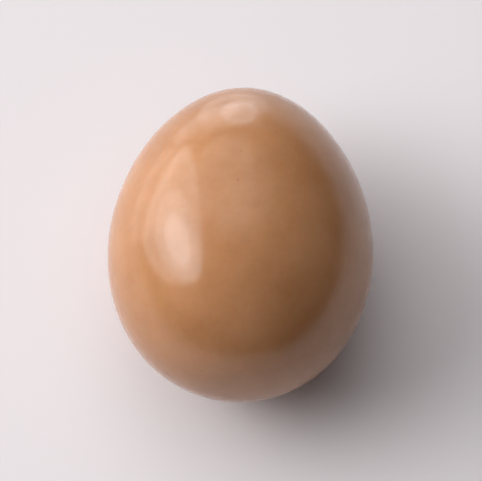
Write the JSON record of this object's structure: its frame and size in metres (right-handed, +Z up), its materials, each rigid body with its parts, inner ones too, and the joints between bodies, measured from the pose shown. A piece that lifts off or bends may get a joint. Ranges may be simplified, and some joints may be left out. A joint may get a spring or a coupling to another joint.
{
  "type": "marinated quail egg",
  "caption": "Whole peeled and boiled quail egg, stained brown by a soy marinade, lying on its side. A starter, snack or topping.",
  "frame": {"origin": "middle of the small flat that the egg rests on, straight below its centre of mass", "axes": "+Z up; the long axis lies in the YZ plane along Y, narrow end towards +Y and dipped by about 7 degrees, as a loose egg settles; the egg is the same on both sides of that plane"},
  "size_m": [0.0248, 0.0307, 0.024],
  "materials": {
    "stained_white": "satin"
  },
  "bodies": {
    "root": {"marinated_egg": "stained_white"}
  },
  "joints": []
}
